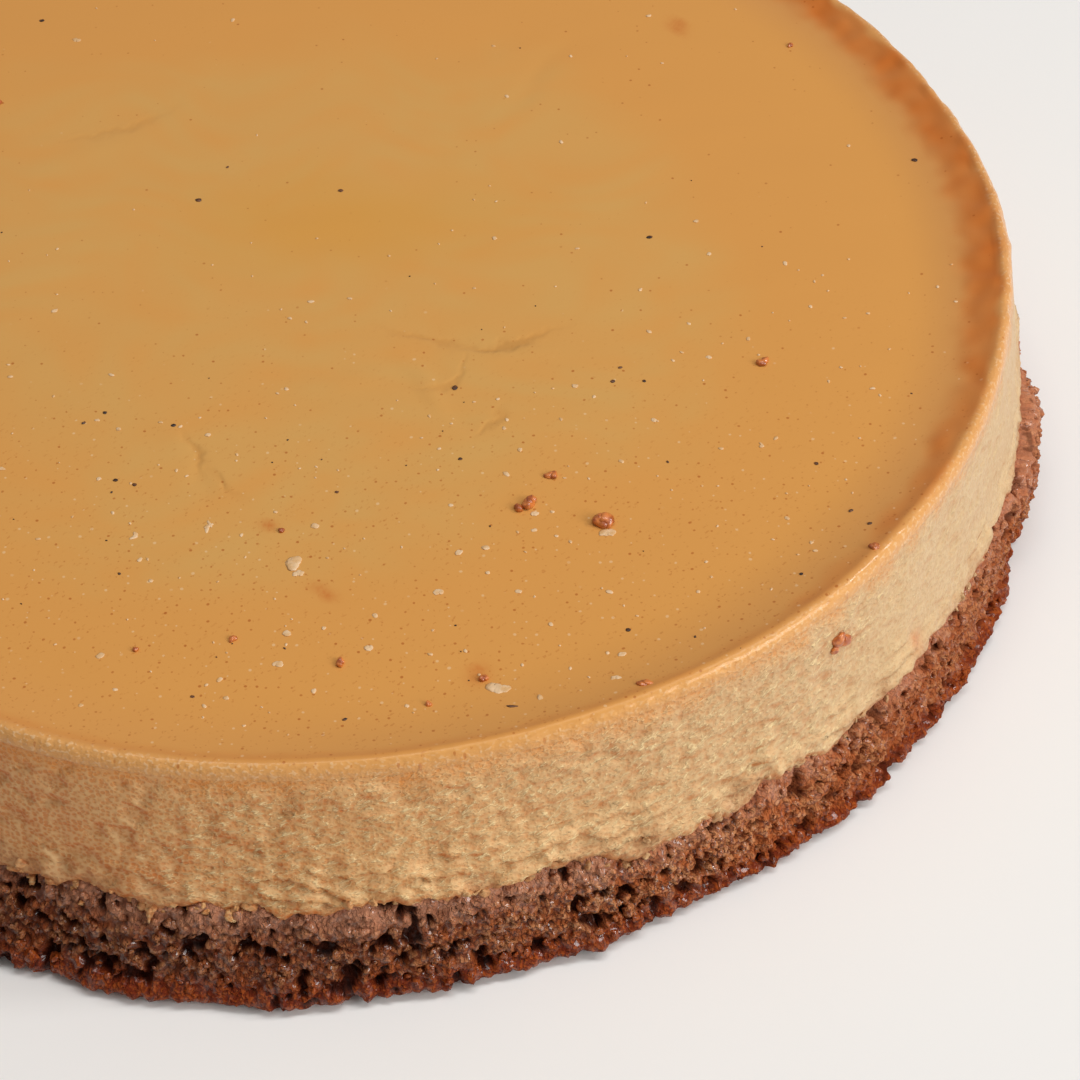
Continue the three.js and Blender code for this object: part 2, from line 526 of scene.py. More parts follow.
def wallRelief(points, angle, share):
    # how far the wall stands out, and where it is dented; share runs from 0 at the rim to 1 at the foot
    c = custard
    live = liveliness(points, angle)
    bend = drift(points, 2.4, 32)
    near, pick = cells((points + 1.2 * bend) * [1, 1, 1.2], 4.2, 31)
    dents = smoothStep(0.52, 0.38, near) * (pick > 0.3) * (0.5 + 0.7 * pick)
    flat = (points + 0.8 * bend) * [1, 1, 2.0]
    # level ridges, and slanting ones in front that rise to one side
    ridges = ridged(flat, 4.4, 35) + 0.7 * ridged(flat, 2.6, 36)
    turn = angle - c["ridgesAt"]
    inFront = 0.5 + 0.5 * np.cos(turn)
    arc = cake["footRadius"] * np.arctan2(np.sin(turn), np.cos(turn))
    run = arc * c["alongSlant"] + points[:, 2] * c["upSlant"]
    rise = points[:, 2] * c["alongSlant"] - arc * c["upSlant"]
    crinkles = np.stack([run * 0.5, rise * 1.2, 0 * run], -1) + 0.8 * bend
    slanting = 0.8 * ridged(crinkles, 2.6, 67) + 0.6 * ridged(crinkles, 1.6, 68)
    ridges = blend(ridges, slanting, inFront)
    phase = np.mod((points[:, 2] + 2.6 * rough(points, 13, 37) + 1.4 * rough(points, 4, 38)) / 3.0, 1)
    front = nearAngle(angle, c["tornAt"], math.radians(26))
    torn = smoothStep(0.6, 0.88, share) * smoothStep(0.0, 0.6, 0.9 * rough(points, 8, 39) + 0.7 * front)
    lumps = 0.5 + 0.5 * ridged(points * [1, 1, 1.4], 2.8, 40)
    right = smoothStep(-0.2, 0.6, np.cos(angle))
    lift = 0.35 * rough(points, 11, 41) - c["dents"] * dents * (1 - 0.4 * live) * (1 - 0.5 * right)
    lift = lift + c["ridges"] * ridges * (0.1 + 0.9 * live)
    lift = lift + c["folds"] * (1 - phase) * torn
    return lift + 0.8 * c["folds"] * lumps * smoothStep(0.82, 1, share), dents


def slantOf(mesh):
    # how much more each spot of the side turns to the lit upper right than a plain side would
    spots, normals = np.empty((2, len(mesh.vertices) * 3), dtype=np.float32)
    mesh.vertices.foreach_get("co", spots)
    mesh.vertices.foreach_get("normal", normals)
    spots = spots.reshape(-1, 3)
    plain = outward(np.arctan2(spots[:, 1], spots[:, 0]), *custard["wallNormal"])
    return (normals.reshape(-1, 3) - plain) @ np.array(custard["litFrom"])


def custardRows():
    # one row for each ring: radius, height, normal out and up, share of the rim's unevenness and of
    # the foot's, points in the ring, and which part of the skin it is in
    c = custard
    rim, foot, joint = cake["rimRadius"], cake["footRadius"], cake["joint"]
    full = c["sectors"]
    rows = []
    radius = 2.0
    brim = rim - c["crestWidth"] - c["brimWidth"]
    while radius < brim:
        sectors = full
        for limit in c["halvedBelow"]:
            if radius < limit:
                sectors //= 2
        rows.append((radius, None, 0, 1, 0, 0, sectors, "top"))
        radius += 1.1 if radius < 26 else 1.8
    for share in np.linspace(0, 1, c["brimRings"], endpoint=False):
        rows.append((blend(brim, rim - 1.35 * c["crestWidth"], share), None, 0, 1, share, 0, full, "top"))
    for turn in np.linspace(-0.35, math.pi / 2, c["crestRings"]):
        reach = rim - c["crestWidth"] * (1 - math.sin(turn))
        height = cake["height"] - c["crestFall"] * (1 - math.cos(turn))
        rows.append((reach, height, math.sin(turn), math.cos(turn), 1, 0, full, "crest"))
    high, low = cake["height"] - c["crestFall"], joint + c["footRound"]
    for i in range(1, c["wallRings"] + 1):
        share = i / c["wallRings"]
        reach, height = blend(rim, foot, share), blend(high, low, share)
        rows.append((reach, height, *c["wallNormal"], 1 - share, share, full, "wall"))
    rows.append((foot - 0.2, joint + 0.35, 0.8, -0.6, 0, 1, full, "wall"))
    rows.append((foot - 0.9, joint, 0.2, -1, 0, 1, full, "wall"))
    for i, radius in enumerate((foot - 4, foot - 9, 90, 60, 25)):
        rows.append((radius, joint, 0, -1, 0, 1 if radius > 100 else 0, full // 2 ** i, "under"))
    return rows


def makeCustard():
    c = custard
    rings = []
    marks = {"wall": [0.0], "cream": [1.0], "gold": [0.5], "cloud": [0.5], "lively": [0.0],
             "stain": [0.0], "soak": [0.0], "band": [0.0], "dent": [0.0]}
    for radius, height, out, up, rimShare, footShare, sectors, part in custardRows():
        angle = np.arange(sectors) * 2 * math.pi / sectors
        reach = radius + rimStray(angle) * rimShare + footStray(angle) * footShare
        if part == "top":
            z = dish(radius, angle)
        else:
            z = height + rimRise(angle) * rimShare + jointStray(angle) * footShare
        points = np.stack([reach * np.cos(angle), reach * np.sin(angle), z], -1)
        none = np.zeros(sectors)
        lift, wall, band, dent = none, 1.0, none, none
        if part == "top":
            band = rimBand(points, radius, angle)
            lift = skinLift(points, radius) + c["rimLumps"] * band * rough(points, 3.6, 64)
            wall = 0.0
        elif part == "crest":
            behind = smoothStep(0, 1, np.cos(angle - c["behind"]))
            lift = 0.18 * rough(points, 1.7, 42) * max(out, 0.3) + 0.25 * behind * rough(points, 3.2, 65)
            band = rimBand(points, radius, angle)
            wall = 0.5 * max(0, out)
        elif part == "wall":
            lift, dent = wallRelief(points, angle, footShare)
            lift = lift * smoothStep(0, 0.12, footShare)
        rings.append(points + lift[:, None] * outward(angle, out, up))
        marks["wall"].extend([wall] * sectors)
        marks["cream"].extend(creamAt(points))
        marks["gold"].extend(goldAt(points))
        marks["cloud"].extend(0.5 + 0.6 * rough(points, 12, 45) + 0.4 * rough(points * [1, 1.5, 1], 5, 46))
        marks["lively"].extend(liveliness(points, angle))
        marks["stain"].extend(stainAt(points))
        marks["soak"].extend(soakAt(points) if part == "wall" else none)
        marks["band"].extend(band)
        marks["dent"].extend(dent)
    mesh = ringMesh("custard", rings, ((0, 0, float(dish(0, 0))), (0, 0, cake["joint"])))
    tag(mesh, slant=slantOf(mesh), **{name: values + [values[-1]] for name, values in marks.items()})
    return mesh


def creaseLine(f, x, y, wander):
    # the fine creases as one height, from 0 to 1
    line = None
    for middleX, middleY, long, wide, turn, bow, strength in creases:
        turn = math.radians(turn)
        east, north = x - middleX, y - middleY
        run = east * math.cos(turn) + north * math.sin(turn)
        off = north * math.cos(turn) - east * math.sin(turn) - run * run * bow + wander
        long, wide = run * (1 / long), off * (1 / wide)
        fade = f.maths("EXPONENT", 0 - (long * long + wide * wide)) * strength
        line = fade if line is None else f.maths("MAXIMUM", line, fade)
    return line


def skinColour(f, y, turn, radius, cloud, swirl, fine, line, edge):
    # the skin on top: a paler swirled middle, painted shade down the rim's slope, a painted sheen and glints
    # on the crest, pinprick freckles, and pale flecks that are partly painted glints
    c, rim = custard, cake["rimRadius"]
    top = f.mix(colour(c["skin"]), colour(c["skinPale"]), f.mark("cream") * 0.9)
    top = f.mix(top, colour(c["skinDeep"]), f.mark("gold") * 0.8)
    # darker colour along the fine creases: partly the creases' own brown, partly painted shade
    top = f.mix(top, colour(c["creaseShade"]), line * 0.32)
    behind = f.step(f.maths("COSINE", turn - c["behind"]), -0.2, 1.0)
    top = f.mix(top, colour(c["rimShade"]), f.step(radius, rim - 17, rim - 5) * (0.1 + 0.3 * behind))
    top = f.mix(top, colour(c["rimTone"]), f.mark("band") * 0.7)
    # a paler band along the crest and pale ticks on it: painted sheen and painted glints
    top = f.mix(top, colour(c["crest"]), f.step(radius, rim - 2.5, rim - 0.3) * (0.6 - 0.25 * behind))
    top = f.mix(top, colour(c["glint"]), f.step(fine, 0.56, 0.7) * edge * 0.24)
    near, pick, other = f.grains(c["freckleCell"], f.warped(f.spot, swirl, 0.6))
    crowd = f.step(y, 5, -75) * 0.75 + cloud * 0.25
    size = 0.04 + 0.1 * other * other
    pricks = f.step(near, size + 0.05, size - 0.03) * f.step(pick, 1.0 - 0.5 * crowd, 1.03 - 0.5 * crowd)
    # pale flecks on the near half: partly pale bits of skin, partly painted glints
    flecksAndGlints = f.step(near, size + 0.08, size - 0.02) * f.step(pick, 0.2 * crowd - 0.02, 0.2 * crowd - 0.07)
    top = f.mix(top, colour(c["freckle"]), pricks * (0.26 + 0.4 * other * other))
    top = f.mix(top, colour(c["fleckAndGlint"]), flecksAndGlints * 0.4)
    near, pick, _ = f.grains(c["pinprickCell"], f.warped(f.spot, fine, 1.1))
    pinpricks = f.step(near, 0.26, 0.1) * f.step(pick, 0.6, 1.0)
    return f.mix(top, colour(c["freckle"]), pinpricks * (crowd * 0.42 - 0.04))


def wallColour(f, z, turn, cloud, lively, swirl, fine, ripple, near, pores, glints):
    # tan foam with warm pores in a paler web, caramel skin on top and crumb at the foot; warm painted shade
    # in low and turned-away spots, painted light on raised and lit spots, and painted glints
    c = custard
    slant = f.mark("slant")
    right = 0.5 + 0.5 * f.maths("COSINE", turn - cake["litSide"])
    level = (ripple - 0.5) * (0.25 + 0.35 * lively) + (fine - 0.5) * 0.3
    # the side that faces the light is painted paler: painted light
    side = f.mix(colour(c["wall"]), colour(c["wallLitPale"]), f.step(right, 0.6, 1.05))
    # warm darkening in pores, low relief, dents and spots turned from the light: painted shade, partly the
    # pores' own tone
    poresAndShade = pores * (0.2 + 0.36 * ripple) * (1 - 0.78 * f.step(right, 0.35, 1.0))
    poresAndShade = poresAndShade + f.step(level, 0.08, -0.16) * (0.34 + 0.12 * lively - 0.12 * right)
    poresAndShade = poresAndShade + f.step(slant, 0.04, -0.3) * 0.55
    poresAndShade = f.maths("MAXIMUM", poresAndShade, f.mark("dent") * (0.5 - 0.45 * right))
    # darker patches and a darker tone away from the lit side: painted shade
    poresAndShade = poresAndShade + f.step(cloud + right * 1.5, 1.3, 0.4) * 0.45 + f.step(right, 0.78, 0.28) * 0.32
    side = f.mix(side, colour(c["wallPitAndShade"]), poresAndShade, "MULTIPLY")
    # a paler web between the pores, the foam's own tone, and paler raised spots and spots turned to the
    # light: painted light
    webAndPaintedLight = f.step(near, 0.4, 0.65) * (0.28 - 0.22 * right)
    webAndPaintedLight = webAndPaintedLight + f.step(level, 0.04, 0.2) * 0.15 + f.step(slant, 0.06, 0.4) * 0.3
    side = f.mix(side, colour(c["wallRidgeAndLight"]), webAndPaintedLight)
    # pale glints on the slanting crests and seams: painted highlights
    side = f.mix(side, colour(c["wallGlint"]), glints)
    # the caramel skin is the custard's own; it is painted shorter and fainter on the lit side as painted
    # light
    skinFoot = right * 4 + (cake["height"] - 9.5)
    skinned = f.step(z + swirl * 8.0 + ripple * 4 - 6.0, skinFoot, cake["height"] - 1.5)
    side = f.mix(side, colour(c["wallSkin"]), skinned * (0.75 + 0.25 * pores - 0.45 * right))
    return f.mix(side, colour(c["soaked"]), f.mark("soak") * (0.45 + 0.3 * pores))


def custardFinish():
    c, rim = custard, cake["rimRadius"]
    f = Finish("custard", Specular_IOR_Level=0.5, Specular_Tint=colour("ffdca0"), Coat_Roughness=0.15)
    wall, cloud, lively, stain = f.mark("wall"), f.mark("cloud"), f.mark("lively"), f.mark("stain")
    x, y, z = f.part("X"), f.part("Y"), f.part("Z")
    turn = f.maths("ARCTAN2", y, x)
    radius = f.node("ShaderNodeVectorMath", {"operation": "LENGTH"}, {0: f.joined(x, y, 0.0)}, "Value")
    # a flat chart of the skin: one way round the cake, the other from the rim's slope over the crest
    around, down = turn * (cake["footRadius"] * mm), (z - radius) * mm
    chart, squat = f.joined(around, down, 0.0), f.joined(around, down * 1.3, 0.0)
    swirl = f.noise(c["swirlSize"], 2, 0.5, f.spot)
    fine = f.noise(c["fineSize"], 1, 0.5, chart)
    ripple = f.noise(c["rippleSize"], 2, 0.5, squat)
    edge = f.step(radius, rim - 2.2, rim - 0.4) * f.step(wall, 0.9, 0.5)
    line = creaseLine(f, x, y, swirl * 4 - 2)
    # round pores on the wall, and thin slanting crests in front, bumped and painted with pale glints as
    # painted highlights
    near, pick, _ = f.grains(c["poreCell"], f.warped(chart, ripple, 0.35))
    pores = f.step(near - pick * 0.36, 0.3, -0.02)
    run = around * c["alongSlant"] + down * c["upSlant"]
    rise = down * c["alongSlant"] - around * c["upSlant"]
    dashes = f.ridge(1.5, f.joined(run * 0.4, rise * 1.6, 0.0), 0.06) * f.step(ripple, 0.47, 0.58)
    seams = f.ridge(5, f.warped(squat, ripple, 1.5), 0.012) * f.step(swirl, 0.5, 0.6)
    glints = f.maths("MAXIMUM", dashes * (0.04 + 0.76 * lively), seams * 0.35)
    top = skinColour(f, y, turn, radius, cloud, swirl, fine, line, edge)
    side = wallColour(f, z, turn, cloud, lively, swirl, fine, ripple, near, pores, glints)
    base = f.mix(top, side, f.step(wall, 0.25, 0.9))
    f.feed("Base Color", f.mix(base, colour(c["stain"]), stain * (0.35 + 0.5 * fine)))
    sided = f.step(wall, 0.3, 0.9)
    f.feed("Roughness", 0.32 + 0.12 * cloud + 0.12 * sided)
    f.feed("Coat Weight", 0.14 - 0.08 * sided + 0.26 * edge)
    relief = ripple * ((0.12 + 0.38 * lively) * sided + 0.42 * edge)
    relief = relief + fine * ((0.12 + 0.12 * lively) * sided + 0.32 * edge)
    f.bump(relief + (glints * 0.3 - pores * 0.15) * sided - line * 0.6, 1.0, 0.35)
    return f.material


def makeDrips():
    # torn bits of custard along the joint and on the sponge
    chance = random.Random(19)
    spots = list(custard["dripSpots"])
    while len(spots) < custard["drips"]:
        turn = chance.uniform(-180, 180)
        torn = 0.35 + 0.65 * float(nearAngle(math.radians(turn), sponge["moistAt"], 0.5))
        bare = sponge["ledgeFrom"] - 0.1 < math.radians(turn) < sponge["ledgeTo"] + 0.1
        if chance.random() < torn and not bare:
            spots.append((turn, None, blend(0.35, 0.9 + 0.6 * torn, chance.random() ** 2.5)))
    lumps = []
    for turn, z, size in spots:
        angle = math.radians(turn)
        edge = cake["joint"] + float(jointStray(np.array([angle]))[0])
        if z is None:
            z = edge + chance.uniform(-1.6, 0.6)
        reach, _ = spongeSide(np.array([angle]), max(0, edge - z) / edge)
        wallReach = cake["footRadius"] + float(footStray(angle)) + 0.6
        reach = blend(reach[0] + 0.3 * size, wallReach, float(smoothStep(edge - 0.6, edge + 0.6, z)))
        middle = np.array([0, 0, z]) + reach * outward(angle, 1, 0)
        half = np.array([size * chance.uniform(0.4, 1.2) for _ in range(3)])
        lumps.append((middle, half, anyTurn(chance), turn))
    mesh, owner = lumpMesh("custardDrips", lumps, 3, 0.6)
    none = np.zeros(len(owner))
    soaks = np.array([0.4 + 0.6 * chance.random() for _ in lumps])
    tag(mesh, cream=none, gold=none, stain=none, band=none, dent=none, slant=none)
    tag(mesh, wall=none + 1, cloud=none + 0.4, lively=none + 1, soak=soaks[owner])
    return mesh


print("making the custard")
custardLook = custardFinish()
place("custard", makeCustard(), "custard", custardLook, "custard_layer")


# The sponge: an open, moist crumb that flares down to a thin, ragged, redder crust.

sponge = {
    "sectors": 1600,
    "sideRings": 40,
    "crustThick": 2.2,
    "crustLift": 0.9,
    "restInset": 3.5,
    "ledge": 3.4,
    "ledgeFrom": math.radians(-18),
    "ledgeTo": math.radians(-2),
    # where the crumb is darkest, partly wet and partly in painted shade
    "moistAt": math.radians(-118),
    "sideNormal": (0.93, 0.36),
    # each kind of gap: cell width, depth, share of cells that are open, warp
    "gaps": ((5.0, 2.6, 0.26, 1.6), (2.6, 1.3, 0.4, 0.9), (1.5, 0.6, 0.5, 0.4)),
    "grains": 2400,
    "grainSmall": 0.4,
    "grainLarge": 0.95,
    "crumb": "c06a38",
    "crumbPale": "e9a36c",
    "crumbDeep": "5e2812",
    "crumbRed": "b04a18",
    "crumbLitSide": "8a4626",
    "gapShade": "38140a",
    "crust": "6a220a",
    "crustPale": "a04a18",
    "soaked": "d69674",
}


def crumbRelief(points):
    # an open crumb, with gaps of several sizes: gives its height, how deep in a gap, and the grain
    warp = drift(points, 1.5, 41)
    height = 0.7 * rough(points, 7, 44)
    height = height + 0.7 * np.abs(rough(points, 2.9, 45)) + 0.5 * np.abs(rough(points, 1.5, 46))
    ragged = rough(points + 0.8 * warp, 3.2, 47) + 0.3 * rough(points, 1.3, 48)
    hollow = smoothStep(0.22, 0.5, ragged)
    height = height - 1.5 * hollow
    for seed, (size, depth, share, bend) in enumerate(sponge["gaps"], 1):
        near, pick = cells((points + bend * warp) * [1, 1, 1.4], size, seed)
        reach = blend(0.16, 0.42, pick) * (pick > 1 - share)
        dent = smoothStep(1.0, 0.35, near / np.maximum(reach, 0.001))
        height = height - depth * dent
        hollow = np.maximum(hollow, dent * min(1, depth / 1.6))
    near, _ = cells(points + 0.3 * warp, 1.2, 4)
    grain = 1 - np.clip(near / 0.72, 0, 1) ** 1.5
    height = height + 0.75 * grain * (1 - 0.5 * hollow)
    calm = 0.75 + 0.25 * smoothStep(0.9, 0.4, points[:, 0] / cake["crustRadius"])
    return height * calm, np.clip(hollow + 0.3 * (1 - grain) - 0.1, 0, 1), grain * (1 - hollow)


def crustEdge(angle):
    ragged = 0.7 * along(angle, 4.1, 51) + 0.6 * along(angle, 1.7, 52) + 0.35 * along(angle, 0.95, 53)
    return cake["crustRadius"] + cake["crustShift"] * np.cos(angle) + crustStray(angle) + ragged


def crustSide(angle, back, z):
    return crustEdge(angle) - back, z + 0.4 * along(angle, 2.7, 55)


def spongeSide(angle, share):
    # radius and height on the side; share runs from 0 under the custard to 1 at the crust
    s = sponge
    gap = smoothStep(0.05, 0.5, along(angle, 7.5, 53)) * np.exp(-(share / 0.13) ** 2)
    shoulder = cake["footRadius"] + footStray(angle) - 0.6 + 1.1 * along(angle, 4.2, 54) - 2.6 * gap
    high = cake["joint"] + jointStray(angle) + 0.25
    low = s["crustLift"] + s["crustThick"]
    turn = np.arctan2(np.sin(angle), np.cos(angle))
    ledge = smoothStep(s["ledgeFrom"] - 0.12, s["ledgeFrom"] + 0.12, turn)
    ledge = ledge * smoothStep(s["ledgeTo"] + 0.03, s["ledgeTo"] - 0.03, turn)
    proud = s["ledge"] * ledge * np.cos(0.5 * math.pi * share)
    swell = 0.75 * np.sin(math.pi * np.minimum(share * 1.4, 1))
    return blend(shoulder, crustEdge(angle) - 1.1, share ** 1.25) + proud + swell, blend(high, low, share)


def makeSponge():
    s = sponge
    full, foot, joint = s["sectors"], cake["footRadius"], cake["joint"]
    rings, hollowMark, crustMark, grainMark = [], [0.0], [0.0], [0.0]

    def ring(sectors, shape, out, up, relief, crust):
        angle = np.arange(sectors) * 2 * math.pi / sectors
        reach, z = shape(angle)
        points = np.stack([reach * np.cos(angle), reach * np.sin(angle), z + 0 * angle], -1)
        hollow = grain = np.zeros(sectors)
        if relief > 0:
            height, hollow, grain = crumbRelief(points)
            points = points + (height * relief)[:, None] * outward(angle, out, up)
        points[:, 2] = np.maximum(points[:, 2], 0)
        rings.append(points)
        hollowMark.extend(hollow)
        grainMark.extend(grain)
        crustMark.extend([crust] * sectors)

    def upper(angle, back):
        reach, z = spongeSide(angle, 0)
        return reach - back, z

    # the top, hidden under the custard but for its outer edge
    for radius, sectors in ((25, full // 16), (60, full // 8), (90, full // 4), (foot - 9, full // 2)):
        rise = 1 if radius > 100 else 0
        ring(sectors, lambda a, r=radius, k=rise: (r + 0 * a, joint + 0.25 + k * jointStray(a)), 0, 1, 0, 0)
    for back in (4.5, 3.6, 2.8, 2.1, 1.4, 0.7):
        ring(full, lambda a, d=back: upper(a, d), 0.1, 0.9, 0.3, 0)
    for share in np.linspace(0, 1, s["sideRings"] + 1):
        relief = min(1, 0.3 + 7 * share)
        crust = smoothStep(0.8, 1.0, share)
        ring(full, lambda a, k=share: spongeSide(a, k), *s["sideNormal"], relief, crust)
    low, thick = s["crustLift"], s["crustThick"]
    for out, up, back, z in ((0.95, 0.3, 0.45, low + 0.8 * thick), (1, 0, 0.1, low + 0.6 * thick),
                             (1, 0, 0, low + 0.4 * thick), (0.9, -0.4, 0.15, low + 0.2 * thick),
                             (0.5, -0.8, 0.7, low * 0.9), (0.2, -0.9, 1.4, low * 0.6)):
        ring(full, lambda a, d=back, h=z: crustSide(a, d, h), out, up, 0.6, 1.0)
    for i, inset in enumerate((s["restInset"], 7, 16, 40, 80)):
        ring(full // 2 ** i, lambda a, d=inset: (crustEdge(a) - d, 0), 0, -1, 0, 1.0)
    mesh = ringMesh("sponge", rings, ((0, 0, joint), (0, 0, 0)))
    tag(mesh, hollow=hollowMark + [0.0], grain=grainMark + [0.0], crust=crustMark + [1.0])
    tag(mesh, tone=[0.5] * len(mesh.vertices))
    return mesh


def makeGrains():
    # loose-looking grains of crumb that stand on the sponge's side
    s = sponge
    chance = random.Random(71)
    angle = np.array([chance.uniform(-math.pi, math.pi) for _ in range(2 * s["grains"])])
    share = np.array([chance.uniform(0.04, 1.04) for _ in angle])
    reach, z = spongeSide(angle, share)
    base = np.stack([reach * np.cos(angle), reach * np.sin(angle), z], -1)
    height, hollow, _ = crumbRelief(base)
    spots = base + (height * np.minimum(1, 0.25 + 7 * share))[:, None] * outward(angle, *s["sideNormal"])
    lumps, tones, crusts = [], [], []
    for i in np.nonzero(hollow < 0.45)[0][:s["grains"]]:
        size = blend(s["grainSmall"], s["grainLarge"], chance.random() ** 2.2)
        half = np.array([size * chance.uniform(0.75, 1.2) for _ in range(3)])
        if spots[i][2] - size < 0.3:
            continue
        lumps.append((spots[i] - 0.25 * size * outward(angle[i], 1.0, 0.2), half, anyTurn(chance), i))
        tones.append(min(1, max(0, chance.gauss(0.5, 0.2))))
        crusts.append(float(smoothStep(0.75, 1.0, share[i])))
    mesh, owner = lumpMesh("spongeGrains", lumps, 2, 0.8)
    none = np.zeros(len(owner))
    tag(mesh, hollow=none, grain=none + 0.7, crust=np.array(crusts)[owner], tone=np.array(tones)[owner])
    return mesh


def spongeFinish():
    s = sponge
    f = Finish("sponge", Specular_IOR_Level=0.06, Coat_Roughness=0.14, Coat_IOR=1.6)
    hollow, crust, tone, grain = f.mark("hollow"), f.mark("crust"), f.mark("tone"), f.mark("grain")
    z = f.part("Z")
    turn = f.maths("ARCTAN2", f.part("Y"), f.part("X"))
    patch = f.noise(6, 2, 0.6, None, 0.8)
    fine = f.noise(0.45, 1, 0.5)
    lumpy = f.noise(1.1, 1)
    chart = f.joined(turn * (cake["crustRadius"] * mm), z * mm, 0.0)
    near, pick, _ = f.grains(0.7, f.warped(chart, fine, 1.0))
    bead = f.step(near, 0.7, 0.1)
    # random tone, and paler grain tips as painted light
    vary = (pick - 0.5) * 0.3 + tone * 0.3 + grain * 0.25
    crumb = f.mix(colour(s["crumb"]), colour(s["crumbPale"]), f.step(patch + vary, 0.55, 0.92))
    crumb = f.mix(crumb, colour(s["crumbRed"]), f.step(lumpy + pick * 0.25, 0.62, 0.8) * 0.55)
    # darker between the bumped beads: painted shade
    crumb = f.mix(colour(s["crumbDeep"]), crumb, f.step(bead + fine * 0.8, 0.25, 0.95))
    crumb = f.mix(crumb, colour(s["crumbRed"]), f.step(z + lumpy * 5, 9.5, 4.0) * 0.35)
    # darker crumb on the left front, away from the light: partly wet crumb, partly painted shade
    moistAndShade = f.step(f.maths("COSINE", turn - s["moistAt"]) + patch * 0.6, 0.6, 1.3)
    crumb = f.mix(crumb, colour(s["crumbDeep"]), moistAndShade * (0.95 - 0.4 * grain))
    # a darker, flatter crumb and paler gaps on the side facing the light, to offset the light there: painted
    # shade and painted light
    calm = f.step(f.maths("COSINE", turn - cake["litSide"]), 0.55, 0.95)
    crumb = f.mix(crumb, colour(s["crumbLitSide"]), calm * 0.6)
    soak = f.step(z + lumpy * 4 + patch * 4 - 4, cake["joint"] - 6, cake["joint"] + 0.5)
    crumb = f.mix(crumb, colour(s["soaked"]), soak * (0.7 - 0.25 * calm))
    baked = f.mix(colour(s["crust"]), colour(s["crustPale"]), f.step(fine + 0.3 * grain, 0.5, 0.85))
    base = f.mix(crumb, baked, crust * 0.85)
    # dark colour in the gaps and between grains: painted shade
    base = f.mix(base, colour(s["gapShade"]), f.step(hollow, 0.2, 0.9) * (0.9 - 0.35 * calm))
    f.feed("Base Color", base)
    f.feed("Roughness", 0.5 + 0.25 * fine + 0.1 * hollow)
    f.feed("Coat Weight", (0.15 + 0.65 * f.step(pick, 0.45, 0.8)) * (1 - 0.8 * hollow) - 0.25 * calm)
    f.bump((bead * 0.55 + lumpy * 0.8 + fine * 0.7) * (1 - 0.4 * calm), 1.0, 0.45)
    return f.material


print("making the sponge")
spongeLook = spongeFinish()
place("sponge", makeSponge(), "sponge", spongeLook, "sponge_layer")
place("spongeGrains", makeGrains(), "sponge", spongeLook)
place("custardDrips", makeDrips(), "custard", custardLook)


# Small bits. Each spot is x, y, length, width and turn in degrees, on the custard's top.

